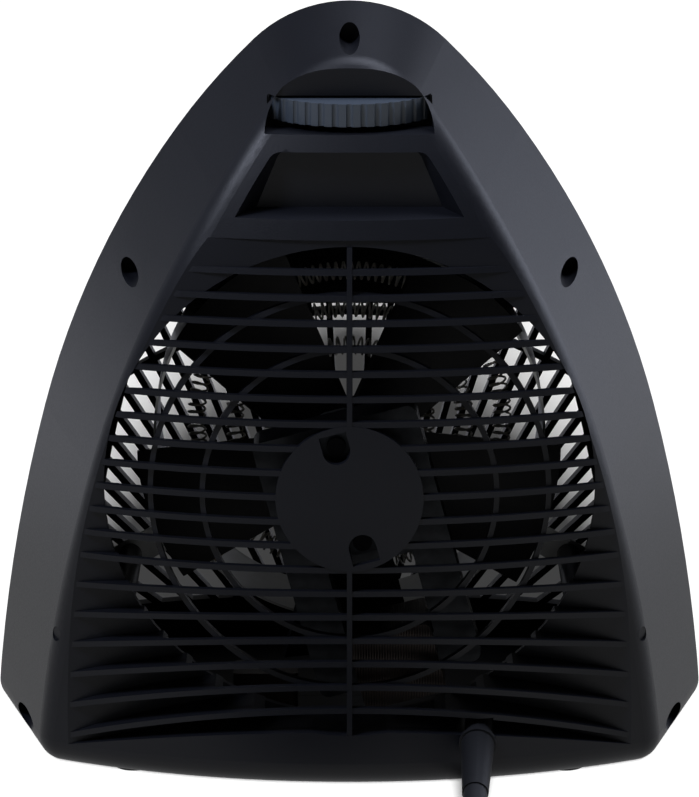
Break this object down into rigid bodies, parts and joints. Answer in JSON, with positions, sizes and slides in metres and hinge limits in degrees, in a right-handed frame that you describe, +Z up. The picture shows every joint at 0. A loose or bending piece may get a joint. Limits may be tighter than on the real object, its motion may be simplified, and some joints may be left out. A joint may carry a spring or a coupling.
{
  "type": "fan heater",
  "caption": "Compact fan heater with an arch-shaped housing, curved slatted rear grille, recessed handle, thumbwheel thermostat and a coiled mains cord.",
  "frame": {"origin": "on the floor under the middle of the housing", "axes": "+Z up; the front outlet grille faces -Y and the slatted rear grille faces +Y; the fan axis is parallel to Y"},
  "size_m": [0.2352, 0.3136, 0.228],
  "materials": {
    "shell_plastic": "fine moulded texture, charcoal",
    "grille_plastic": "fine moulded texture, charcoal",
    "foot_rubber": "matt black",
    "screw_steel": "zinc plated",
    "laminated_steel": "stamped laminations",
    "copper_winding": "enamelled copper wire under varnish",
    "zinc_plate": "zinc plated sheet",
    "rotor_steel": "turned steel",
    "fan_plastic": "moulded, black",
    "shroud_steel": "aluminised sheet",
    "mica": "pressed mica board",
    "nichrome": "coiled resistance wire",
    "phenolic": "phenolic moulding",
    "brass": "turned or stamped brass",
    "wheel_plastic": "moulded, blue grey",
    "plunger_plastic": "moulded, natural",
    "cord_rubber": "matt black flexible sheath",
    "plug_plastic": "moulded, black"
  },
  "bodies": {
    "heater": {"rear_shell": "shell_plastic", "front_shell": "shell_plastic", "front_grille": "grille_plastic", "rubber_feet": "foot_rubber", "shell_screws": "screw_steel", "motor_stack": "laminated_steel", "motor_coil": "copper_winding", "motor_bracket_rear": "zinc_plate", "motor_bracket_front": "zinc_plate", "motor_screws": "screw_steel", "motor_mount_screws": "screw_steel", "element_shroud": "shroud_steel", "element_screws": "screw_steel", "mica_board_a": "mica", "mica_board_b": "mica", "heating_coil_inner": "nichrome", "heating_coil_middle": "nichrome", "heating_coil_outer": "nichrome", "thermal_cutout": "phenolic", "thermostat_body": "phenolic", "thermostat_nut": "screw_steel", "tipover_switch": "phenolic", "strain_relief": "cord_rubber", "cord_coil": "cord_rubber", "cord_lead": "cord_rubber", "cord_tail": "cord_rubber", "plug_body": "plug_plastic", "plug_blades": "brass"},
    "fan": {"fan_impeller": "fan_plastic", "motor_rotor": "rotor_steel", "fan_push_clip": "screw_steel"},
    "dial": {"thermostat_wheel": "wheel_plastic", "thermostat_shaft": "brass"},
    "plunger": {"tipover_plunger": "plunger_plastic"}
  },
  "joints": [
    {"name": "fan_spin", "type": "hinge", "parent": "heater", "child": "fan", "pos_m": [0, 0.03, 0.093], "axis": [0, 1, 0], "continuous": true},
    {"name": "dial_turn", "type": "hinge", "parent": "heater", "child": "dial", "pos_m": [0, 0.017, 0.2], "axis": [0, 0, 1], "range_deg": [-150, 150]},
    {"name": "tipover_travel", "type": "slide", "parent": "heater", "child": "plunger", "axis": [0, 0, -1], "range_m": [0, 0.003], "stiffness_N_per_m": 200, "springref_m": 0.006}
  ]
}
